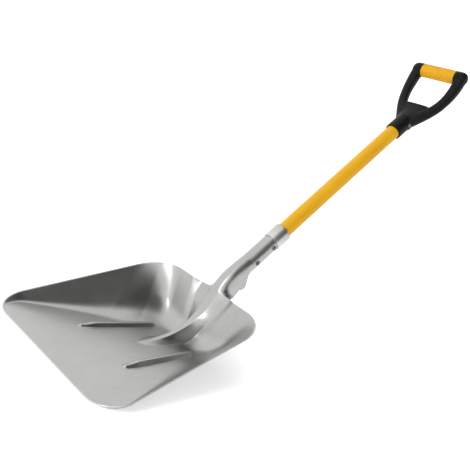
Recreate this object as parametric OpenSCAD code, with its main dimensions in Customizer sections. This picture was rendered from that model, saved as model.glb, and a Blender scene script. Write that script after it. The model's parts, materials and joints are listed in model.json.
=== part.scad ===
// Grain scoop shovel with a short handle: one pressed aluminium blade, a hollow shaft
// held by two cross rivets under a collar, and a moulded D-shaped grip with a soft sleeve.
// Origin: middle of the blade's flat underside. +Z up, +Y from the front edge to the handle.

/* [Blade] */
// Width across the open front edge before its corners are rounded
front_w = 392; // [380:1:402]
// Width across the rear rim before its corners are rounded
rear_w = 314; // [304:1:324]
// Length of the blade from the front edge to the rear rim
blade_l = 338; // [328:1:348]
// Height of the rear rim above the floor of the blade
rim_h = 104; // [98:1:110]
// Thickness of the pressed sheet
sheet_t = 2; // [1.6:0.1:2.4]
// Corner radius of the front edge, seen from above
front_r = 55; // [48:1:64]
// Corner radius of the rear rim, seen from above
rear_r = 61; // [54:1:68]
// Horizontal run of the side walls for each millimetre that they rise
side_run = 1.25; // [1.15:0.05:1.4]
// Horizontal run of the rear wall for each millimetre that it rises
rear_run = 0.535; // [0.5:0.005:0.57]

/* [Ribs and frog] */
// Height of the two pressed stiffening ribs
rib_h = 7; // [4:0.5:8]
// Width of each stiffening rib
rib_w = 19; // [15:0.5:21]
// Distance from the tip of the frog, the raised ridge, to the rear rim
frog_l = 147; // [140:1:154]
// Depth of the hollows between the frog and the rear wall, at the rim
hollow = 24; // [16:1:28]

/* [Shaft] */
// Lift of the shaft above the horizontal, in degrees
lift = 44.7; // [44:0.1:45.4]
// Outside diameter of the shaft
shaft_d = 31.75; // [31:0.05:32.5]
// Wall of the hollow shaft
shaft_wall = 3.2; // [2.6:0.1:4]
// Length of shaft left bare between the collar and the grip
bare_l = 363; // [303:5:463]

/* [Socket and collar] */
// Length of the collar
collar_l = 36; // [32:1:40]
// Wall of the collar
collar_t = 1.6; // [1.2:0.1:2]
// Arc of the socket wrapped round the shaft, in degrees
socket_wrap = 300; // [280:5:320]

/* [Grip] */
// Distance along the shaft from the grip mouth to the middle of the crossbar
grip_l = 183; // [176:1:190]
// Offset of the crossbar towards the upper side of the shaft
grip_rise = 39; // [35:1:44]
// Visible length of the soft sleeve on the crossbar
sleeve_l = 86; // [82:1:90]
// Outside diameter of the soft sleeve
sleeve_d = 31; // [29:0.1:32.4]

/* [Rivets] */
// Diameter of the rivet shanks
rivet_d = 5.2; // [4.6:0.1:5.8]
// Diameter of the rivet heads
rivet_head_d = 9.6; // [9:0.1:10.5]

/* [Hidden] */

clearance = 0.2;
shaft_r = shaft_d / 2;
socket_r = shaft_r + clearance + sheet_t;
half_l = blade_l / 2;
aluminium = [0.75, 0.75, 0.74];
steel = [0.55, 0.55, 0.56];
yellow = [0.87, 0.66, 0.12];
black = [0.09, 0.09, 0.1];
timber = [0.72, 0.58, 0.4];

// Shaft reference point: on the shaft axis, 10 mm above the top edge of the collar
ref_y = half_l + 155.6;
ref_z = 240.4 + sheet_t;
collar_top = -10;
socket_end = collar_top - 3;
shaft_start = -112;
mouth = collar_top + bare_l;
shaft_end = mouth + 44;
bar_at = mouth + grip_l;
rivet_at = [-55, -103, mouth + 36];

// ---- small helpers ----
function clamp(v, lo, hi) = min(hi, max(lo, v));
function soft(v) = let(c = clamp(v, 0, 1)) c * c * (3 - 2 * c);
function mix(a, b, k) = a + (b - a) * k;
function unit(v) = v / norm(v);
function bezier(a, b, c, d, k) =
    a * pow(1 - k, 3) + b * 3 * k * pow(1 - k, 2) + c * 3 * k * k * (1 - k) + d * pow(k, 3);
function bezier_way(a, b, c, d, k) =
    (b - a) * pow(1 - k, 2) + (c - b) * 2 * k * (1 - k) + (d - c) * k * k;
function steps(from, to, n) = [for (i = [0 : n - 1]) mix(from, to, i / n)];

// ---- blade: grid of columns across and rows from front to rear ----
mean_r = 0.215;
base_x = 62;
tongue_x = 40;
tongue_u = tongue_x / (rear_w / 2 * (1 - mean_r * rear_r / half_l));
half_cols = concat(steps(0, tongue_u, 10), steps(tongue_u, 0.62, 11), steps(0.62, 1, 7), [1]);
cols = concat([for (i = [28 : -1 : 1]) -half_cols[i]], half_cols);
rows = concat(steps(-1, -0.35, 7), steps(-0.35, 0.62, 18), steps(0.62, 0.88, 9),
              steps(0.88, 1, 8), [1]);
last_col = len(cols) - 1;
last_row = len(rows) - 1;
tongue_a = last_col / 2 - 10;
tongue_b = last_col / 2 + 10;
neck_rows = 18;
socket_rows = 5;
tongue_rows = neck_rows + socket_rows;

// Point of a square with rounded corners: [along the near side, along the other, support, turn]
function rounded(k, r) =
    let(straight = (1 - r) / (1 - mean_r * r),
        turn = 45 * max(0, k - straight) / (1 - straight))
    k <= straight
        ? [1, k * (1 - r) / straight, 1, 0]
        : [1 - r + r * cos(turn), 1 - r + r * sin(turn),
           (1 - r) * (cos(turn) + sin(turn)) + r, turn];

// Wall profile: an arc that turns up from the floor, then a straight part up to the rim
side_turn = 49;
rear_turn = 76;
function arc_share(run, turn) = (tan(turn) - 1 / run) / (tan(turn) - tan(turn / 2));
function wall(c, run, turn) =
    let(share = arc_share(run, turn),
        s = clamp(c, 0, share) / share * sin(turn))
    c < share ? run * share / sin(turn) * (1 - sqrt(1 - s * s))
              : 1 - tan(turn) * run * (1 - min(c, 1.02));

// Half width of the frog where it meets the pan
function frog_half(y) =
    let(from_tip = y - half_l + frog_l, from_rim = half_l - y)
    4 + 16 * (1 - pow(1 - clamp(from_tip / 45, 0, 1), 2))
        + (base_x - 20) * pow(clamp(1 - from_rim / 36, 0, 1), 1.1);

// Floor and walls of the blade, without ribs or frog: grid place to [x, y, z]
function pan(u, w) =
    let(ring = max(abs(u), abs(w), 0.0001),
        r = (w < 0 ? front_r : rear_r + min(150 * (1 - ring), 56)) / half_l,
        p = rounded(min(abs(u), abs(w)) / ring, r),
        side = abs(u) >= abs(w),
        px = sign(u) * (side ? p[0] : p[1]),
        py = sign(w) * (side ? p[1] : p[0]),
        facing = w <= 0 ? 0 : pow(side ? sin(p[3]) : cos(p[3]), 3),
        rise = max(0.5, rim_h * (1 + py) / 2),
        run = mix(side_run, rear_run + 0.35 * px * px, facing),
        c = 1 - (1 - ring) / (run * rise / (p[2] * half_l)),
        high = rise * wall(c, run, mix(side_turn, rear_turn, facing)),
        x = ring * px * mix(front_w, rear_w, (1 + ring * py) / 2) / 2,
        y = ring * py * half_l,
        inside = pow(clamp(1 - pow(x / frog_half(y), 2), 0, 1), 1.2),
        lean = w > 0 ? hollow * inside * pow(clamp(high / rim_h, 0, 1), 2.5) : 0)
    [x, y + lean, sheet_t + high - 0.31 * lean];

// Share of the way from the frog's tip to the rim, along the middle of the pan
wall_run = rear_run * rim_h;
rear_share = arc_share(rear_run, rear_turn);
arc_r = rear_share * wall_run / sin(rear_turn);
floor_len = frog_l - wall_run;
arc_len = arc_r * rear_turn * PI / 180;
line_len = wall_run * (1 - rear_share) / cos(rear_turn);
function travel(w) =
    let(y = w * half_l - half_l,
        flat = min(y + frog_l, floor_len),
        arc = arc_r * PI / 180 * asin(clamp((y + wall_run) / arc_r, 0, sin(rear_turn))),
        line = max(0, y + wall_run * (1 - rear_share)) / cos(rear_turn))
    clamp((flat + arc + line) / (floor_len + arc_len + line_len), 0, 1);

// Frog section: flat top, straight flanks and rounded corners
function slope(s) =
    let(a = 0.14, c = clamp(s, 0, 1))
    (c < a ? c * c / (2 * a) : c < 1 - a ? c - a / 2 : 1 - a - pow(1 - c, 2) / (2 * a)) / (1 - a);
function hump(x, half, top) = 1 - slope((abs(x) - top) / (half - top));

// Crest of the frog, in the plane of symmetry: [y, z]
crest_way = [cos(74), sin(74)];
crest_tip = [half_l - frog_l, sheet_t];
crest_end = [half_l + 5.5, sheet_t + rim_h];
function crest(k) = bezier(crest_tip, crest_tip + [60, 6], crest_end - crest_way * 92, crest_end, k);

// Stiffening ribs: rounded bars pressed upwards on each side of the frog
rib_front = [74, half_l - 222];
rib_rear = [58.7, half_l - 74];
function rib(x, y) =
    let(p = [abs(x), y],
        way = rib_rear - rib_front,
        k = clamp((p - rib_front) * way / (way * way), 0, 1),
        off = norm(p - rib_front - way * k),
        half = rib_w / 2 * mix(0.75, 1, soft(k * 6)))
    rib_h * soft((half - off) / (half * 0.7)) * mix(0.55, 1, soft(k * 5));

function blade_point(u, w) =
    let(p = pan(u, w),
        share = travel(max(w, 0)),
        middle = pan(0, max(w, 0)),
        top = mix(1.5, 6, clamp(share / 0.75, 0, 1)),
        half = min(frog_half(max(w, 0) * half_l), 20 + 26 * soft((share - 0.55) / 0.45)),
        part = share > 0 ? hump(p[0], half, top) : 0,
        shift = (crest(share) - [middle[1], middle[2]]) * part)
    [p[0], p[1] + shift[0], p[2] + rib(p[0], p[1]) + shift[1]];

// Neck: its top line carries the crest of the frog on and runs into the socket
along = [cos(lift), sin(lift)];
outward = [-sin(lift), cos(lift)];
neck_top = [ref_y, ref_z] + along * shaft_start + outward * socket_r;
neck_b = crest_end + crest_way * 24;
neck_c = neck_top - along * 30 + outward * 5;

// Neck and socket section: grid column share q from -1 to 1, station e from 0 (rim)
function neck_point(q, e) =
    let(k = clamp(e, 0, 1),
        top = bezier(crest_end, neck_b, neck_c, neck_top, k)
              + along * max(0, e - 1) * (socket_end - shaft_start),
        way = unit(bezier_way(crest_end, neck_b, neck_c, neck_top, k)),
        closed = soft((k - 0.4) / 0.55),
        arc = abs(q) * mix(90, socket_wrap / 2, closed),
        square = mix(0.62, 1, closed),
        wide = mix(19, socket_r, closed),
        deep = mix(40, socket_r, closed) + 7 * (1 - soft(k / 0.3)),
        drop = deep * (1 - sign(cos(arc)) * pow(abs(cos(arc)), square)),
        yz = top + [way[1], -way[0]] * drop,
        tube = [sign(q) * wide * pow(abs(sin(arc)), square), yz[0], yz[1]],
        lifted = (top - crest_end) * (1 - abs(q)),
        rim = blade_point(q * tongue_u, 1) + [0, lifted[0], lifted[1]])
    mix(tube, rim, pow(1 - clamp(k / 0.34, 0, 1), 2));

function grid_point(i, j) =
    j <= last_row ? blade_point(cols[i], rows[j])
    : let(n = j - last_row,
          e = n <= neck_rows ? pow(n / neck_rows, 1.3) : 1 + (n - neck_rows) / socket_rows)
      neck_point((i - last_col / 2) / 10, e);

function col_a(j) = j <= last_row ? 0 : tongue_a;
function col_b(j) = j <= last_row ? last_col : tongue_b;
all_rows = last_row + tongue_rows;
upper = [for (j = [0 : all_rows]) [for (i = [col_a(j) : col_b(j)]) grid_point(i, j)]];
function at(i, j) = upper[j][i - col_a(j)];

// Direction square to the sheet, taken one place inside the edge
function facing(i, j) =
    let(tongue = i >= tongue_a && i <= tongue_b,
        c = j >= last_row && tongue
            ? clamp(i, tongue_a + 1, tongue_b - 1) : clamp(i, 1, last_col - 1),
        r = tongue ? clamp(j, 1, all_rows - 1) : clamp(j, 1, last_row - 1))
    unit(cross(at(c + 1, r) - at(c - 1, r), at(c, r + 1) - at(c, r - 1)));

first_tongue = (last_row + 1) * (last_col + 1);
tongue_cols = tongue_b - tongue_a + 1;
side_count = first_tongue + tongue_rows * tongue_cols;
function id(i, j) =
    j <= last_row ? j * (last_col + 1) + i
    : first_tongue + (j - last_row - 1) * tongue_cols + i - tongue_a;

edge = concat(
    [for (i = [0 : last_col]) id(i, 0)],
    [for (j = [1 : last_row]) id(last_col, j)],
    [for (i = [last_col - 1 : -1 : tongue_b]) id(i, last_row)],
    [for (j = [last_row + 1 : all_rows]) id(tongue_b, j)],
    [for (i = [tongue_b - 1 : -1 : tongue_a]) id(i, all_rows)],
    [for (j = [all_rows - 1 : -1 : last_row]) id(tongue_a, j)],
    [for (i = [tongue_a - 1 : -1 : 0]) id(i, last_row)],
    [for (j = [last_row - 1 : -1 : 1]) id(0, j)]);

module blade_sheet() {
    top_points = [for (j = [0 : all_rows]) for (i = [col_a(j) : col_b(j)]) at(i, j)];
    low_points = [for (j = [0 : all_rows]) for (i = [col_a(j) : col_b(j)])
        at(i, j) - facing(i, j) * sheet_t];
    cells = [for (j = [0 : all_rows - 1]) for (i = [col_a(j + 1) : col_b(j + 1) - 1]) [i, j]];
    top_faces = [for (c = cells) for (half = [0, 1])
        half == 0 ? [id(c[0], c[1]), id(c[0], c[1] + 1), id(c[0] + 1, c[1] + 1)]
                  : [id(c[0], c[1]), id(c[0] + 1, c[1] + 1), id(c[0] + 1, c[1])]];
    low_faces = [for (f = top_faces) [f[0] + side_count, f[2] + side_count, f[1] + side_count]];
    rim_faces = [for (n = [0 : len(edge) - 1])
        let(a = edge[n], b = edge[(n + 1) % len(edge)])
        for (half = [0, 1])
        half == 0 ? [a, b, b + side_count] : [a, b + side_count, a + side_count]];
    polyhedron(concat(top_points, low_points), concat(top_faces, low_faces, rim_faces), 8);
}

// ---- placing ----
module on_shaft(s) {
    translate([0, ref_y, ref_z]) rotate([lift - 90, 0, 0]) translate([0, 0, s]) children();
}

module rivet_hole(s, d) {
    on_shaft(s) rotate([0, 90, 0]) cylinder(h = 60, d = d, center = true, $fn = 32);
}

// ---- sub-parts ----
module blade() {
    color(aluminium)
    resize([0, 0, 0])
    difference() {
        blade_sheet();
        rivet_hole(rivet_at[0], rivet_d + 0.2);
        rivet_hole(rivet_at[1], rivet_d + 0.2);
    }
}

module collar() {
    inner = socket_r + 0.05;
    outer = inner + collar_t;
    lip = shaft_r + 0.1;
    color(aluminium)
    on_shaft(collar_top - collar_l)
    rotate_extrude($fn = 96)
    polygon(concat(
        [[inner, 0], [outer, 0]],
        [for (a = [0 : 15 : 90]) [outer - 2.4 + 2.4 * cos(a), collar_l - 2.4 + 2.4 * sin(a)]],
        [[lip, collar_l], [lip, collar_l - 2.4], [inner, collar_l - 2.4]]));
}

module shaft() {
    color(yellow)
    difference() {
        on_shaft(shaft_start) cylinder(h = shaft_end - shaft_start, r = shaft_r, $fn = 96);
        on_shaft(shaft_start - 1)
            cylinder(h = shaft_end - shaft_start + 2, r = shaft_r - shaft_wall, $fn = 96);
        for (s = rivet_at) rivet_hole(s, rivet_d);
    }
}

module plug(from, to, holes) {
    color(timber)
    difference() {
        on_shaft(from) cylinder(h = to - from, r = shaft_r - shaft_wall, $fn = 72);
        for (s = holes) rivet_hole(s, rivet_d);
    }
}

module lower_plug() {
    plug(shaft_start, -36, [rivet_at[0], rivet_at[1]]);
}

module upper_plug() {
    plug(mouth + 16, shaft_end, [rivet_at[2]]);
}

// Cross rivet: a domed head on one side, the shank, and a flatter set tail on the other
module rivet(s, seat_r, tail_lift) {
    head_h = 2.8;
    tail_h = 1.8;
    shank_r = rivet_d / 2;
    head_r = rivet_head_d / 2;
    tail_r = head_r * 0.88;
    tail_seat = -seat_r - tail_lift;
    color(steel)
    on_shaft(s)
    rotate([0, 90, 0])
    rotate_extrude($fn = 64)
    polygon(concat(
        [[0, tail_seat - tail_h], [tail_r - 1, tail_seat - tail_h], [tail_r, tail_seat - tail_h + 1],
         [tail_r, tail_seat], [shank_r, tail_seat], [shank_r, seat_r]],
        [for (t = [0 : 10 : 80]) [head_r * cos(t), seat_r + 0.4 + (head_h - 0.4) * sin(t)]],
        [[0, seat_r + head_h]]));
}

module socket_rivet_upper() {
    rivet(rivet_at[0], socket_r + 0.02, 0);
}

module socket_rivet_lower() {
    rivet(rivet_at[1], socket_r + 0.02, 0);
}

module grip_rivet() {
    rivet(rivet_at[2], grip_socket_r + 0.02, 1.2);
}

module grip_rivet_washer() {
    color(steel)
    on_shaft(rivet_at[2])
    rotate([0, -90, 0])
    difference() {
        translate([0, 0, grip_socket_r - 1]) cylinder(h = 2.2, r = 6, $fn = 64);
        cylinder(h = 60, d = rivet_d, $fn = 48);
        rotate([0, 90, 0]) cylinder(h = 40, r = grip_socket_r + 0.02, center = true, $fn = 96);
    }
}

// ---- grip ----
grip_socket_r = 19.4;
core_r = 11;
knuckle_r = 15.6;
fork_at = 50;
bar_reach = norm([bar_at - mouth - fork_at, grip_rise]);
crank = atan2(grip_rise, bar_at - mouth - fork_at);
leg_top_x = sleeve_l / 2 + 13.5;
// Sag of the fork and legs below the straight line from the fork to the crossbar
function sag(z) = let(t = clamp(z / bar_reach, 0, 1)) 26 * t * (1 - t);

// Loft through rounded sections: each section is a ring of points, first to last
module loft(rings) {
    n = len(rings[0]);
    m = len(rings);
    points = [for (r = rings) for (p = r) p];
    walls = [for (j = [0 : m - 2]) for (i = [0 : n - 1]) for (half = [0, 1])
        let(a = j * n + i, b = j * n + (i + 1) % n)
        half == 0 ? [a, a + n, b + n] : [a, b + n, b]];
    caps = [[for (i = [0 : n - 1]) i], [for (i = [n - 1 : -1 : 0]) (m - 1) * n + i]];
    polyhedron(points, concat(walls, caps), 8);
}

// Rounded section of half sizes a and b, with squareness p (2 is an ellipse)
function section(a, b, p, n) = [for (i = [0 : n - 1])
    let(t = 360 * i / n)
    [a * sign(cos(t)) * pow(abs(cos(t)), 2 / p), b * sign(sin(t)) * pow(abs(sin(t)), 2 / p)]];

function leg_place(k) =
    bezier([11, -4], [27, 26], [leg_top_x + 4, 46], [leg_top_x, bar_reach], k);
function leg_way(k) =
    unit(bezier_way([11, -4], [27, 26], [leg_top_x + 4, 46], [leg_top_x, bar_reach], k));

module leg() {
    count = 22;
    loft([for (j = [0 : count])
        let(k = j / count,
            c = leg_place(k),
            w = leg_way(k),
            a = mix(12.5, 10.6, soft(k * 1.6)) + 2 * soft(k * 3 - 2),
            b = mix(13, 10.5, soft(k * 2)) + 2.5 * soft(k * 3 - 2))
        [for (p = section(a, b, 2.5, 24))
            [c[0] + p[0] * w[1], p[1] + sag(c[1]), c[1] - p[0] * w[0]]]]);
}

module yoke() {
    count = 12;
    loft([for (j = [0 : count])
        let(k = j / count,
            a = mix(grip_socket_r, 37, soft(k * 1.1)),
            b = mix(grip_socket_r, 9, soft(k * 1.05)),
            z = mix(-16, 47, k))
        [for (p = section(a, b, mix(2, 2.6, k), 40)) [p[0], p[1] + sag(z), z]]]);
}

module grip_frame() {
    on_shaft(mouth + fork_at) rotate([crank, 0, 0]) children();
}

module knuckle(side) {
    translate([side * sleeve_l / 2, 0, bar_reach])
    rotate([0, 90 * side, 0])
    rotate_extrude($fn = 40)
    polygon(concat(
        [[0, 0], [knuckle_r - 1, 0], [knuckle_r, 1]],
        [for (a = [0 : 10 : 90]) [4 + (knuckle_r - 4) * cos(a), 13 + 14 * sin(a)]],
        [[0, 27]]));
}

module d_grip() {
    color(black)
    resize([0, 0, 0])
    difference() {
        union() {
            on_shaft(mouth) cylinder(h = fork_at - 4, r = grip_socket_r, $fn = 72);
            grip_frame() {
                yoke();
                leg();
                mirror([1, 0, 0]) leg();
                knuckle(1);
                knuckle(-1);
                translate([-sleeve_l / 2 - 2, 0, bar_reach])
                    rotate([0, 90, 0]) cylinder(h = sleeve_l + 4, r = core_r, $fn = 48);
            }
        }
        on_shaft(mouth - 1) cylinder(h = shaft_end - mouth + 1.5, r = shaft_r + 0.06, $fn = 72);
        rivet_hole(rivet_at[2], rivet_d + 0.1);
    }
}

module grip_sleeve() {
    half = sleeve_l / 2;
    outer = sleeve_d / 2;
    color(yellow)
    grip_frame()
    translate([0, 0, bar_reach])
    rotate([0, 90, 0])
    rotate_extrude($fn = 96)
    polygon([[core_r + 0.02, -half], [outer - 1, -half], [outer, -half + 1],
             [outer, half - 1], [outer - 1, half], [core_r + 0.02, half]]);
}

blade();
collar();
shaft();
lower_plug();
upper_plug();
socket_rivet_upper();
socket_rivet_lower();
d_grip();
grip_sleeve();
grip_rivet();
grip_rivet_washer();
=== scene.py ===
import json
import math
import bpy
import numpy as np
from mathutils import Matrix, Vector


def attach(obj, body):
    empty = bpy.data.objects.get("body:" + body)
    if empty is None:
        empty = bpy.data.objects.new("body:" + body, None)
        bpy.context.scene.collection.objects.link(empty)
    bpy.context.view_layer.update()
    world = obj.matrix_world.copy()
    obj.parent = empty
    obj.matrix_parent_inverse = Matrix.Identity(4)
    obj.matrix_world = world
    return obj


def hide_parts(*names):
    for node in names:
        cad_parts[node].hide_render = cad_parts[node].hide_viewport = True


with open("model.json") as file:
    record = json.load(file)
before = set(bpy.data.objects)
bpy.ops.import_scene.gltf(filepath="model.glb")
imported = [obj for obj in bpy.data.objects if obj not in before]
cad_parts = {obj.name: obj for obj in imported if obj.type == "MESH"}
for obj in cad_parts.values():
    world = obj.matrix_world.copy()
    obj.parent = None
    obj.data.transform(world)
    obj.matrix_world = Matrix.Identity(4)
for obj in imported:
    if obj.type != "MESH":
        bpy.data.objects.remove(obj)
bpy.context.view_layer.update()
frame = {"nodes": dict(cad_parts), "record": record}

scene = bpy.context.scene
scene.view_settings.view_transform = "Standard"

# ---- camera: angles in degrees, places in metres ----
CAM_AZ, CAM_EL, CAM_ROLL = 42.57, 12.77, 17.84
CAM_DIST, CAM_RIGHT, CAM_UP = 1.398, -0.0946, 0.1187
CAM_TARGET = Vector((0.0, 0.369, 0.102))
CAM_LENS, CAM_SENSOR = 49.79, 36.0


def camera_axes(az, el, roll):
    """Right, up and back directions of a camera at this azimuth, elevation and roll."""
    a, e, r = (math.radians(v) for v in (az, el, roll))
    back = Vector((math.sin(a) * math.cos(e), -math.cos(a) * math.cos(e), math.sin(e)))
    right = Vector((0, 0, 1)).cross(back).normalized()
    up = back.cross(right)
    return (right * math.cos(r) + up * math.sin(r), up * math.cos(r) - right * math.sin(r), back)


right, up, back = camera_axes(CAM_AZ, CAM_EL, CAM_ROLL)
cam_data = bpy.data.cameras.new("camera")
cam_data.lens, cam_data.sensor_width = CAM_LENS, CAM_SENSOR
cam = bpy.data.objects.new("camera", cam_data)
scene.collection.objects.link(cam)
place = CAM_TARGET + right * CAM_RIGHT + up * CAM_UP + back * CAM_DIST
cam.matrix_world = Matrix.Translation(place) @ Matrix((right, up, back)).transposed().to_4x4()
scene.camera = cam

# ---- sizes of the pressed blade, in millimetres and radians ----
MM = 0.001
FRONT_W, REAR_W, BLADE_L, RIM_H, SHEET = 392.0, 314.0, 338.0, 104.0, 2.0
HALF_L = BLADE_L / 2
# Corners seen from above: radius at the rims, and how it grows inwards at the rear
FRONT_R, REAR_R = 55.0, 61.0
INNER_R, INNER_R_MAX = 150.0, 56.0
# Share of its radius by which a corner shortens the way round the grid
MEAN_R = 0.215
# Angle over which the walls ease into the corners
TURN_EASE = 0.25
# Walls: run for each millimetre of rise, and slope at the rim
SIDE_RUN, REAR_RUN, CORNER_RUN = 1.25, 0.535, 0.35
SIDE_TURN, REAR_TURN = math.radians(49), math.radians(76)
# Hollows beside the frog: depth at the rim, and how far they fall for each millimetre back
LEAN, LEAN_DROP = 24.0, 0.31
# Ribs: centre line from front to rear on one side, as [x, y]
RIB_H, RIB_W = 7.0, 19.0
RIB_FRONT = np.array([74.0, HALF_L - 222])
RIB_REAR = np.array([58.7, HALF_L - 74])
# Frog: length, half widths at the tip, the middle and the rim, and where they change
FROG_L = 147.0
TIP_HALF, MID_HALF, BASE_HALF = 4.0, 20.0, 62.0
TIP_RUN, BASE_RUN = 45.0, 36.0
RIDGE_HALF, RIDGE_SPREAD = 20.0, 26.0
CREST_TOP_TIP, CREST_TOP = 1.5, 6.0
CREST_TURN = math.radians(74)
CREST_BACK, CREST_PULL = 5.5, 92.0
CREST_FOOT = np.array([60.0, 6.0])
# Neck and socket, along the shaft's own line
LIFT = math.radians(44.7)
SHAFT_R = 31.75 / 2
SOCKET_R = SHAFT_R + 0.2 + SHEET
WRAP = math.radians(300)
REF = np.array([HALF_L + 155.6, 240.4 + SHEET])
SHAFT_START, SOCKET_END = -112.0, -13.0
ALONG = np.array([math.cos(LIFT), math.sin(LIFT)])
OUTWARD = np.array([-math.sin(LIFT), math.cos(LIFT)])
TONGUE_X = 40.0
TONGUE_U = TONGUE_X / (REAR_W / 2) * (1 - MEAN_R * REAR_R / HALF_L) ** -1
NECK_HALF, NECK_DEEP, FOOT_DEEP = 19.0, 40.0, 7.0
NECK_SQUARE = 0.62
# Control points of the neck's top line, back from its ends and out from the socket
NECK_START, NECK_END, NECK_OUT = 24.0, 30.0, 5.0
# Shares of the neck where the rim lets go, where the foot ends, and where the tube closes
RIM_SHARE, FOOT_SHARE, CLOSE_FROM, CLOSE_OVER = 0.34, 0.3, 0.4, 0.55


def soft(v):
    """Smooth step from 0 to 1."""
    c = np.clip(v, 0, 1)
    return c * c * (3 - 2 * c)


def mix(a, b, k):
    """Value a share k of the way from a to b."""
    return a + (b - a) * k


def wall(c, run, turn):
    """Height share of a wall: an arc that turns up from the floor, then a straight part."""
    steep, half = np.tan(turn), np.tan(turn / 2)
    share = (steep - 1 / run) / (steep - half)
    s = np.clip(c, 0, share) / share * np.sin(turn)
    bowl = run * share / np.sin(turn) * (1 - np.sqrt(1 - s * s))
    return np.where(c < share, bowl, 1 - steep * run * (1 - np.minimum(c, 1.02)))


def pan(u, w):
    """Floor and walls without ribs or frog: grid place (u across, w along) to [x, y, z]."""
    ring = np.maximum(np.maximum(abs(u), abs(w)), 1e-4)
    r = np.where(w < 0, FRONT_R, REAR_R + np.minimum(INNER_R * (1 - ring), INNER_R_MAX)) / HALF_L
    k = np.minimum(abs(u), abs(w)) / ring
    straight = (1 - r) / (1 - MEAN_R * r)
    turn = math.pi / 4 * np.maximum(0, k - straight) / (1 - straight)
    flat = k <= straight
    near = np.where(flat, 1, 1 - r + r * np.cos(turn))
    far = np.where(flat, k * (1 - r) / straight, 1 - r + r * np.sin(turn))
    eased = turn ** 2 / (turn + TURN_EASE)
    support = np.where(flat, 1, (1 - r) * (np.cos(eased) + np.sin(eased)) + r)
    side = abs(u) >= abs(w)
    px = np.sign(u) * np.where(side, near, far)
    py = np.sign(w) * np.where(side, far, near)
    facing = np.where(w <= 0, 0, np.where(side, np.sin(turn), np.cos(turn)) ** 3)
    rise = np.maximum(0.5, RIM_H * (1 + py) / 2)
    run = mix(SIDE_RUN, REAR_RUN + CORNER_RUN * px * px, facing)
    c = 1 - (1 - ring) / (run * rise / (support * HALF_L))
    high = rise * wall(c, run, mix(SIDE_TURN, REAR_TURN, facing))
    x = ring * px * mix(FRONT_W, REAR_W, (1 + ring * py) / 2) / 2
    y = ring * py * HALF_L
    inside = np.clip(1 - (x / frog_half(y)) ** 2, 0, 1) ** 1.2
    lean = np.where(w > 0, inside * np.clip(high / RIM_H, 0, 1) ** 2.5, 0)
    return np.stack([x, y + LEAN * lean, SHEET + high - LEAN_DROP * LEAN * lean], -1)


# Rear wall in the plane of symmetry: lengths of its floor, arc and straight part
WALL_RUN = REAR_RUN * RIM_H
ARC_SHARE = (math.tan(REAR_TURN) - 1 / REAR_RUN) / (math.tan(REAR_TURN) - math.tan(REAR_TURN / 2))
ARC_R = ARC_SHARE * WALL_RUN / math.sin(REAR_TURN)
FLOOR_LEN = FROG_L - WALL_RUN
ARC_LEN = ARC_R * REAR_TURN
LINE_LEN = WALL_RUN * (1 - ARC_SHARE) / math.cos(REAR_TURN)


def travel(w):
    """Share of the way from the frog's tip to the rim, along the middle of the pan."""
    y = w * HALF_L - HALF_L
    flat = np.minimum(y + FROG_L, FLOOR_LEN)
    arc = ARC_R * np.arcsin(np.clip((y + WALL_RUN) / ARC_R, 0, math.sin(REAR_TURN)))
    line = np.maximum(0, y + WALL_RUN * (1 - ARC_SHARE)) / math.cos(REAR_TURN)
    return (flat + arc + line) / (FLOOR_LEN + ARC_LEN + LINE_LEN)


def frog_half(y):
    """Half width of the frog where it meets the pan."""
    tip, rim = y - HALF_L + FROG_L, HALF_L - y
    return (TIP_HALF + (MID_HALF - TIP_HALF) * (1 - (1 - np.clip(tip / TIP_RUN, 0, 1)) ** 2)
            + (BASE_HALF - MID_HALF) * np.clip(1 - rim / BASE_RUN, 0, 1) ** 1.1)


def slope(s):
    """Straight ramp from 0 to 1, rounded over the share bend at each end."""
    bend = 0.14
    s = np.clip(s, 0, 1)
    low = s * s / (2 * bend)
    mid = s - bend / 2
    high = 1 - bend - (1 - s) ** 2 / (2 * bend)
    return np.where(s < bend, low, np.where(s < 1 - bend, mid, high)) / (1 - bend)


def hump(x, half, top):
    """Section of the frog: 1 on its flat top, 0 beyond its half width."""
    return 1 - slope((abs(x) - top) / (half - top))


def bezier(p, k):
    """Cubic curve through four control points."""
    k = k[..., None]
    return (p[0] * (1 - k) ** 3 + p[1] * 3 * k * (1 - k) ** 2
            + p[2] * 3 * k * k * (1 - k) + p[3] * k ** 3)


def bezier_way(p, k):
    """Direction of that curve."""
    k = k[..., None]
    d = (p[1] - p[0]) * (1 - k) ** 2 + (p[2] - p[1]) * 2 * k * (1 - k) + (p[3] - p[2]) * k * k
    return d / np.linalg.norm(d, axis=-1, keepdims=True)


# Crest of the frog in the plane of symmetry, as [y, z]
crest_way = np.array([math.cos(CREST_TURN), math.sin(CREST_TURN)])
crest_end = np.array([HALF_L + CREST_BACK, SHEET + RIM_H])
crest_tip = np.array([HALF_L - FROG_L, SHEET])
CREST = [crest_tip, crest_tip + CREST_FOOT, crest_end - crest_way * CREST_PULL, crest_end]


def rib(x, y):
    """Height of the two stiffening ribs."""
    p = np.stack([abs(x), y], -1)
    way = RIB_REAR - RIB_FRONT
    k = np.clip((p - RIB_FRONT) @ way / (way @ way), 0, 1)
    off = np.linalg.norm(p - RIB_FRONT - k[..., None] * way, axis=-1)
    half = RIB_W / 2 * mix(0.75, 1, soft(k * 6))
    return RIB_H * soft((half - off) / (half * 0.7)) * mix(0.55, 1, soft(k * 5))


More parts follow.
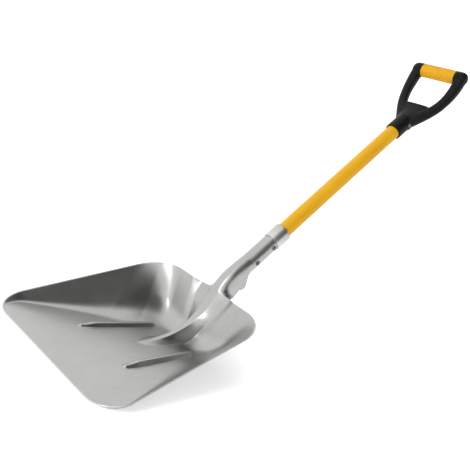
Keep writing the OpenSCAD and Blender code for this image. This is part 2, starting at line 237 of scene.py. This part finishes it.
def blade_point(u, w):
    """Upper face of the blade with its ribs and frog."""
    p = pan(u, w)
    rear = np.maximum(w, 0)
    share = np.clip(travel(rear), 0, 1)
    top = mix(CREST_TOP_TIP, CREST_TOP, np.clip(share / 0.75, 0, 1))
    shift = bezier(CREST, share) - pan(np.zeros_like(w), rear)[..., 1:]
    ridge = RIDGE_HALF + RIDGE_SPREAD * soft((share - 0.55) / 0.45)
    half = np.minimum(frog_half(rear * HALF_L), ridge)
    part = np.where(share > 0, hump(p[..., 0], half, top), 0)
    p[..., 2] += rib(p[..., 0], p[..., 1])
    p[..., 1:] += shift * part[..., None]
    return p


# Top line of the neck: it carries the crest on and runs into the socket
neck_top = REF + ALONG * SHAFT_START + OUTWARD * SOCKET_R
NECK = [crest_end, crest_end + crest_way * NECK_START,
        neck_top - ALONG * NECK_END + OUTWARD * NECK_OUT, neck_top]


def neck_point(q, e):
    """Neck and socket: q across from -1 to 1, e along (0 at the rim, 1 at the shaft's foot)."""
    k = np.clip(e, 0, 1)
    top = bezier(NECK, k) + ALONG * (np.maximum(0, e - 1) * (SOCKET_END - SHAFT_START))[..., None]
    way = bezier_way(NECK, k)
    down = np.stack([way[..., 1], -way[..., 0]], -1)
    spread = ((1 - np.clip(k / RIM_SHARE, 0, 1)) ** 2)[..., None]
    closed = soft((k - CLOSE_FROM) / CLOSE_OVER)
    arc = abs(q) * mix(math.pi / 2, WRAP / 2, closed)
    wide = mix(NECK_HALF, SOCKET_R, closed)
    deep = mix(NECK_DEEP, SOCKET_R, closed) + FOOT_DEEP * (1 - soft(k / FOOT_SHARE))
    square = mix(NECK_SQUARE, 1.0, closed)
    across = wide * np.abs(np.sin(arc)) ** square
    drop = deep * (1 - np.sign(np.cos(arc)) * np.abs(np.cos(arc)) ** square)
    yz = top + down * drop[..., None]
    tube = np.stack([np.sign(q) * across, yz[..., 0], yz[..., 1]], -1)
    rim = blade_point(q * TONGUE_U, np.ones_like(q))
    rim[..., 1:] += (top - crest_end) * (1 - abs(q))[..., None]
    return mix(tube, rim, spread)


def new_piece(name, verts, faces, smooth=True):
    """Mesh object from points and faces."""
    mesh = bpy.data.meshes.new(name)
    mesh.from_pydata([tuple(v) for v in verts], [], [tuple(int(i) for i in f) for f in faces])
    mesh.validate()
    if smooth:
        mesh.polygons.foreach_set("use_smooth", [True] * len(mesh.polygons))
    ob = bpy.data.objects.new(name, mesh)
    scene.collection.objects.link(ob)
    return ob


# ---- pressed blade: a fine grid with nearly the form of the CAD sheet ----
TONGUE_N = 48
NECK_ROWS, SOCKET_ROWS = 80, 29
# Drawn in a little, so that the sheet stays inside the CAD box
INSET = 0.996


def spaced(*stops):
    """Steps through the stops, given as value, count, value, count ... value."""
    parts = [np.linspace(a, b, n)[:-1] for a, n, b in zip(stops[:-2:2], stops[1::2], stops[2::2])]
    return np.concatenate(parts + [np.array([float(stops[-1])])])


def tongue_rows(rows, cols, neck_rows):
    """Point numbers of each row of the tongue, from the rim to the end of the socket."""
    middle = (cols - 1) // 2
    at_rim = np.arange(middle - TONGUE_N, middle + TONGUE_N + 1) + (rows - 1) * cols
    wide = 2 * TONGUE_N + 1
    return [at_rim] + [rows * cols + j * wide + np.arange(wide) for j in range(neck_rows)]


def pressed_blade():
    """The sheet's upper face as a grid, thickened downwards."""
    half_cols = spaced(0, TONGUE_N + 1, TONGUE_U, 40, 0.62, 40, 1)
    cols = np.concatenate([-half_cols[:0:-1], half_cols])
    rows = spaced(-1, 60, -0.4, 150, 0.62, 60, 0.88, 60, 1)
    across, along = np.meshgrid(cols, rows)
    q = np.linspace(-1, 1, 2 * TONGUE_N + 1)
    e = np.concatenate([np.linspace(0, 1, NECK_ROWS + 1)[1:] ** 1.3,
                        1 + np.linspace(0, 1, SOCKET_ROWS + 1)[1:]])
    neck = neck_point(*np.meshgrid(q, e))
    pts = np.concatenate([blade_point(across, along).reshape(-1, 3), neck.reshape(-1, 3)]) * MM
    pts[:, 0] *= INSET
    pts[:, 1] = np.where(pts[:, 1] < 0, pts[:, 1] * INSET, pts[:, 1])
    ids = np.arange(across.size).reshape(across.shape)
    quads = [np.stack([ids[:-1, :-1], ids[:-1, 1:], ids[1:, 1:], ids[1:, :-1]], -1).reshape(-1, 4)]
    tongue = tongue_rows(*across.shape, len(e))
    for a, b in zip(tongue[:-1], tongue[1:]):
        quads.append(np.stack([a[:-1], a[1:], b[1:], b[:-1]], -1))
    ob = new_piece("pressed_blade", pts, np.concatenate(quads))
    solid = ob.modifiers.new("sheet", "SOLIDIFY")
    solid.thickness = SHEET * MM
    solid.offset = -1
    solid.use_even_offset = False
    return ob


pressed = pressed_blade()

# ---- looks ----
# Most of a noise texture's values lie between these
NOISE_LOW, NOISE_HIGH = 0.3, 0.7
# Turn that stands the shaft's own line upright, for textures that follow the shaft
AXIS_TURN = math.pi / 2 - LIFT
SHEET_DARK, SHEET_LIGHT = (0.385, 0.383, 0.377), (0.43, 0.428, 0.42)
SHEET_LINE, SHEET_EDGE = (0.33, 0.328, 0.322), (0.66, 0.66, 0.65)


class Look:
    """One procedural material: textures in object coordinates feed a Principled shader."""

    def __init__(self, name, metallic, turn=0.0):
        self.mat = bpy.data.materials.new(name)
        self.mat.use_nodes = True
        self.tree = self.mat.node_tree
        self.shader = self.tree.nodes["Principled BSDF"]
        self.shader.inputs["Metallic"].default_value = metallic
        self.place = self.tree.nodes.new("ShaderNodeTexCoord").outputs["Object"]
        if turn:
            self.place = self.mapped((1, 1, 1), (turn, 0, 0))
        self.normal = None

    def link(self, a, b):
        """Join two sockets."""
        self.tree.links.new(a, b)

    def mapped(self, scale, turn=(0, 0, 0)):
        """Coordinates stretched and turned."""
        node = self.tree.nodes.new("ShaderNodeMapping")
        self.link(self.place, node.inputs["Vector"])
        node.inputs["Scale"].default_value = scale
        node.inputs["Rotation"].default_value = turn
        return node.outputs[0]

    def noise(self, scale, detail, rough, turn=(0, 0, 0)):
        """Noise with this many waves a metre each way; a low number draws it out in that way."""
        node = self.tree.nodes.new("ShaderNodeTexNoise")
        node.inputs["Scale"].default_value = 1.0
        node.inputs["Detail"].default_value = detail
        node.inputs["Roughness"].default_value = rough
        self.link(self.mapped(scale, turn), node.inputs["Vector"])
        return node.outputs[0]

    def cells(self, scale):
        """Small round cells."""
        node = self.tree.nodes.new("ShaderNodeTexVoronoi")
        node.inputs["Scale"].default_value = 1.0
        self.link(self.mapped((scale, scale, scale)), node.inputs["Vector"])
        return node.outputs["Distance"]

    def wear(self, low, high):
        """Share of edge wear, from how sharply the surface turns outwards."""
        node = self.tree.nodes.new("ShaderNodeNewGeometry")
        return self.span(node.outputs["Pointiness"], low, high, 0, 1)

    def span(self, value, low, high, to_low, to_high):
        """Stretch a value from one range to another."""
        node = self.tree.nodes.new("ShaderNodeMapRange")
        self.link(value, node.inputs["Value"])
        for key, number in zip(("From Min", "From Max", "To Min", "To Max"),
                               (low, high, to_low, to_high)):
            node.inputs[key].default_value = number
        return node.outputs[0]

    def spread(self, noise, to_low, to_high):
        """Stretch a noise texture over a range."""
        return self.span(noise, NOISE_LOW, NOISE_HIGH, to_low, to_high)

    def maths(self, kind, a, b):
        """Sum, product and so on of two values."""
        node = self.tree.nodes.new("ShaderNodeMath")
        node.operation = kind
        for socket, value in zip(node.inputs, (a, b)):
            if isinstance(value, (int, float)):
                socket.default_value = value
            else:
                self.link(value, socket)
        return node.outputs[0]

    def blend(self, share, a, b):
        """Mix of two colours."""
        node = self.tree.nodes.new("ShaderNodeMix")
        node.data_type = "RGBA"
        self.link(share, node.inputs[0])
        for socket, value in ((node.inputs[6], a), (node.inputs[7], b)):
            if isinstance(value, tuple):
                socket.default_value = (*value, 1)
            else:
                self.link(value, socket)
        return node.outputs[2]

    def bump(self, value, depth, strength):
        """Add relief to what is there already."""
        node = self.tree.nodes.new("ShaderNodeBump")
        node.inputs["Distance"].default_value = depth
        node.inputs["Strength"].default_value = strength
        self.link(value, node.inputs["Height"])
        if self.normal:
            self.link(self.normal, node.inputs["Normal"])
        self.normal = node.outputs[0]

    def finish(self, color, rough):
        """Feed the shader and hand the material over. A plain colour sits on its own socket."""
        if isinstance(color, tuple):
            self.shader.inputs["Base Color"].default_value = (*color, 1)
        else:
            self.link(color, self.shader.inputs["Base Color"])
        self.link(rough, self.shader.inputs["Roughness"])
        self.link(self.normal, self.shader.inputs["Normal"])
        return self.mat


def aluminium_look():
    """Rolled sheet: fine lines along the blade, faint waves, stray scratches, polished edges."""
    k = Look("aluminium_sheet", 1.0)
    lines = k.noise((900, 22, 900), 3, 0.6)
    clouds = k.noise((16, 11, 16), 5, 0.6)
    smears = k.noise((60, 26, 60), 4, 0.6)
    across = k.noise((70, 1500, 300), 2, 0.5, (0, 0, 0.5))
    along = k.noise((1400, 50, 300), 2, 0.5, (0, 0, 0.12))
    scratch = k.maths("MAXIMUM", k.span(across, 0.7, 0.74, 0, 1), k.span(along, 0.69, 0.73, 0, 1))
    drawn = k.noise((520, 520, 14), 3, 0.6)
    edge = k.wear(0.53, 0.62)
    tone = k.blend(k.spread(clouds, 0, 1), SHEET_DARK, SHEET_LIGHT)
    tone = k.blend(k.spread(lines, 0, 0.3), tone, SHEET_LINE)
    tone = k.blend(k.span(drawn, 0.42, 0.66, 0, 0.45), tone, SHEET_LINE)
    tone = k.blend(k.maths("MULTIPLY", scratch, 0.16), tone, SHEET_EDGE)
    tone = k.blend(k.maths("MULTIPLY", edge, 0.7), tone, SHEET_EDGE)
    rough = k.maths("ADD", k.spread(lines, 0.28, 0.33), k.span(smears, 0.35, 0.7, 0, 0.03))
    rough = k.maths("SUBTRACT", rough, k.maths("MULTIPLY", edge, 0.05))
    k.bump(k.noise((13, 9, 13), 1, 0.4), 0.0012, 0.22)
    k.bump(lines, 0.00004, 0.5)
    k.bump(drawn, 0.00009, 0.6)
    return k.finish(tone, rough)


def collar_look():
    """Drawn cap, brushed round the shaft."""
    k = Look("collar_metal", 1.0, AXIS_TURN)
    rings = k.noise((9, 9, 2200), 3, 0.6)
    clouds = k.noise((70, 70, 90), 4, 0.6)
    edge = k.wear(0.53, 0.62)
    tone = k.blend(k.spread(clouds, 0, 1), (0.3, 0.3, 0.288), (0.38, 0.38, 0.365))
    tone = k.blend(k.spread(rings, 0, 0.3), tone, (0.22, 0.22, 0.21))
    tone = k.blend(edge, tone, (0.62, 0.62, 0.6))
    k.bump(rings, 0.00004, 0.6)
    k.bump(clouds, 0.0002, 0.3)
    return k.finish(tone, k.maths("ADD", k.spread(rings, 0.24, 0.36),
                                  k.spread(clouds, 0, 0.06)))


def fibreglass_look():
    """Pulled glass fibre rod: long faint fibres under a worn semi-gloss skin."""
    k = Look("fibreglass", 0.0, AXIS_TURN)
    fibres = k.noise((1500, 1500, 16), 4, 0.65)
    bands = k.noise((24, 24, 9), 4, 0.6)
    scuffs = k.noise((240, 240, 60), 4, 0.7)
    tone = k.blend(k.spread(bands, 0, 1), (0.6, 0.305, 0.003), (0.68, 0.355, 0.005))
    tone = k.blend(k.span(fibres, 0.52, 0.75, 0, 0.35), tone, (0.7, 0.4, 0.025))
    tone = k.blend(k.span(scuffs, 0.6, 0.8, 0, 0.3), tone, (0.4, 0.19, 0.006))
    k.bump(fibres, 0.00007, 0.6)
    k.bump(bands, 0.0003, 0.3)
    k.shader.inputs["Specular IOR Level"].default_value = 0.25
    return k.finish(tone, k.maths("ADD", k.spread(fibres, 0.36, 0.46),
                                  k.span(scuffs, 0.4, 0.75, 0, 0.12)))


def timber_look():
    """Turned core: growth rings on the ends and grain along the shaft."""
    k = Look("plug_timber", 0.0, AXIS_TURN)
    rings = k.tree.nodes.new("ShaderNodeTexWave")
    rings.wave_type = "RINGS"
    rings.rings_direction = "Z"
    rings.inputs["Scale"].default_value = 90.0
    rings.inputs["Distortion"].default_value = 2.5
    rings.inputs["Detail"].default_value = 3.0
    k.link(k.mapped((1, 1, 0.15)), rings.inputs["Vector"])
    grain = k.noise((1300, 1300, 30), 4, 0.6)
    tone = k.blend(rings.outputs["Fac"], (0.52, 0.35, 0.18), (0.38, 0.23, 0.11))
    tone = k.blend(k.span(grain, 0.55, 0.75, 0, 0.6), tone, (0.25, 0.14, 0.06))
    k.bump(grain, 0.00015, 0.8)
    return k.finish(tone, k.spread(grain, 0.55, 0.75))


def rivet_look():
    """Zinc plate with a mottled bloom, bright where it is rubbed."""
    k = Look("rivet_steel", 1.0)
    bloom = k.cells(900)
    clouds = k.noise((260, 260, 260), 4, 0.6)
    edge = k.wear(0.54, 0.64)
    tone = k.blend(k.spread(clouds, 0, 1), (0.09, 0.09, 0.09), (0.17, 0.17, 0.165))
    tone = k.blend(k.span(bloom, 0.1, 0.7, 0, 0.3), tone, (0.06, 0.06, 0.06))
    tone = k.blend(edge, tone, (0.4, 0.4, 0.39))
    k.bump(clouds, 0.00012, 0.5)
    return k.finish(tone, k.spread(clouds, 0.3, 0.5))


def grip_look():
    """Moulded black plastic: fine grain, soft sheen, edges rubbed smooth."""
    k = Look("grip_plastic", 0.0)
    grain = k.noise((1700, 1700, 1700), 2, 0.5)
    clouds = k.noise((40, 40, 40), 4, 0.6)
    scuffs = k.noise((90, 700, 420), 3, 0.6, (0.4, 0, 0.3))
    edge = k.wear(0.52, 0.6)
    tone = k.blend(k.spread(clouds, 0, 1), (0.004, 0.004, 0.0045), (0.008, 0.008, 0.0085))
    tone = k.blend(k.span(scuffs, 0.68, 0.78, 0, 0.5), tone, (0.02, 0.02, 0.021))
    tone = k.blend(k.maths("MULTIPLY", edge, 0.5), tone, (0.015, 0.015, 0.016))
    k.bump(grain, 0.00007, 0.5)
    k.bump(clouds, 0.0004, 0.3)
    k.shader.inputs["Specular IOR Level"].default_value = 0.1
    rough = k.maths("ADD", k.spread(clouds, 0.3, 0.42), k.spread(grain, 0, 0.08))
    return k.finish(tone, k.maths("SUBTRACT", rough, k.maths("MULTIPLY", edge, 0.08)))


def sleeve_look():
    """Soft yellow sleeve: stippled, a little dulled by hands."""
    k = Look("sleeve_rubber", 0.0)
    stipple = k.cells(1100)
    clouds = k.noise((55, 40, 55), 5, 0.6)
    tone = k.blend(k.spread(clouds, 0, 1), (0.56, 0.28, 0.004), (0.63, 0.32, 0.006))
    tone = k.blend(k.span(clouds, 0.58, 0.8, 0, 0.35), tone, (0.42, 0.2, 0.008))
    k.bump(stipple, 0.0001, 0.6)
    k.shader.inputs["Specular IOR Level"].default_value = 0.2
    return k.finish(tone, k.spread(clouds, 0.5, 0.66))


LOOK = {
    "aluminium_sheet": aluminium_look(),
    "collar_metal": collar_look(),
    "fibreglass": fibreglass_look(),
    "plug_timber": timber_look(),
    "rivet_steel": rivet_look(),
    "grip_plastic": grip_look(),
    "sleeve_rubber": sleeve_look(),
}
for part in frame["record"]["subparts"]:
    ob = frame["nodes"][part["node"]]
    ob.data.materials.clear()
    ob.data.materials.append(LOOK[part["material_slot"]])

pressed.data.materials.append(LOOK["aluminium_sheet"])
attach(pressed, "root")
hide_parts("blade")

# ---- grip ----
VOXEL = 0.0012
EASE, EASE_ROUNDS = 0.5, 10


def moulded_grip():
    """The CAD grip with its joints run together and smoothed."""
    source = frame["nodes"]["d_grip"]
    ob = bpy.data.objects.new("moulded_grip", source.data.copy())
    scene.collection.objects.link(ob)
    ob.matrix_world = source.matrix_world.copy()
    remesh = ob.modifiers.new("join", "REMESH")
    remesh.mode = "VOXEL"
    remesh.voxel_size = VOXEL
    remesh.use_smooth_shade = True
    ease = ob.modifiers.new("ease", "SMOOTH")
    ease.factor = EASE
    ease.iterations = EASE_ROUNDS
    return ob


moulding = moulded_grip()
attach(moulding, "root")
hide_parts("d_grip")

# ---- floor ----
FLOOR_R, FLOOR_SIDES = 60.0, 64
FLOOR_SHADE, FLOOR_GLOW = (0.97, 0.97, 0.97), 0.4


def paper_look():
    """Pale paper with a faint unevenness and a little light of its own, to soften the shadow."""
    k = Look("floor", 0.0)
    fibre = k.noise((3, 3, 3), 4, 0.6)
    k.bump(fibre, 0.0005, 0.1)
    k.shader.inputs["Emission Color"].default_value = (1, 1, 1, 1)
    k.shader.inputs["Emission Strength"].default_value = FLOOR_GLOW
    return k.finish(FLOOR_SHADE, k.spread(fibre, 0.9, 1.0))


ring = [(FLOOR_R * math.cos(math.tau * i / FLOOR_SIDES),
         FLOOR_R * math.sin(math.tau * i / FLOOR_SIDES), 0) for i in range(FLOOR_SIDES)]
floor = new_piece("floor", ring, [range(FLOOR_SIDES)], False)
floor.data.materials.append(paper_look())

# ---- light: a white room with three soft dark patches for the metal to reflect ----
ROOM = 1.36
# Direction of each patch, cosines of its outer and inner half angle, and its shade
PATCHES = [((0.6, 0.2, 0.77), 0.8, 0.9, 0.06), ((0.95, 0.02, 0.3), 0.93, 0.97, 0.2),
           ((0.0, 0.72, 0.7), 0.87, 0.96, 0.16)]
KEY_PLACE, KEY_AIM = Vector((0.1, -2.2, 1.9)), Vector((0, 0.2, 0.1))
KEY_ENERGY, KEY_SIZE = 16, 0.5


def patch_light(tree, way, direction, outer, inner, shade):
    """Light from the room, fading to the patch's shade near its direction."""
    dot = tree.nodes.new("ShaderNodeVectorMath")
    dot.operation = "DOT_PRODUCT"
    tree.links.new(way, dot.inputs[0])
    dot.inputs[1].default_value = Vector(direction).normalized()
    fade = tree.nodes.new("ShaderNodeMapRange")
    fade.interpolation_type = "SMOOTHSTEP"
    tree.links.new(dot.outputs["Value"], fade.inputs["Value"])
    for name, number in zip(("From Min", "From Max", "To Min", "To Max"),
                            (outer, inner, ROOM, shade)):
        fade.inputs[name].default_value = number
    return fade.outputs[0]


def studio():
    """World with the darkest of its patches in each direction."""
    world = bpy.data.worlds.new("studio")
    world.use_nodes = True
    tree = world.node_tree
    way = tree.nodes.new("ShaderNodeTexCoord").outputs["Generated"]
    lights = [patch_light(tree, way, *patch) for patch in PATCHES]
    light = lights[0]
    for other in lights[1:]:
        darker = tree.nodes.new("ShaderNodeMath")
        darker.operation = "MINIMUM"
        tree.links.new(light, darker.inputs[0])
        tree.links.new(other, darker.inputs[1])
        light = darker.outputs[0]
    background = tree.nodes["Background"]
    background.inputs["Color"].default_value = (1, 1, 1, 1)
    tree.links.new(light, background.inputs["Strength"])
    return world


scene.world = studio()

key = bpy.data.lights.new("key", "AREA")
key.energy = KEY_ENERGY
key.size = KEY_SIZE
lamp = bpy.data.objects.new("key", key)
scene.collection.objects.link(lamp)
lamp.location = KEY_PLACE
lamp.rotation_euler = (KEY_AIM - KEY_PLACE).to_track_quat("-Z", "Y").to_euler()
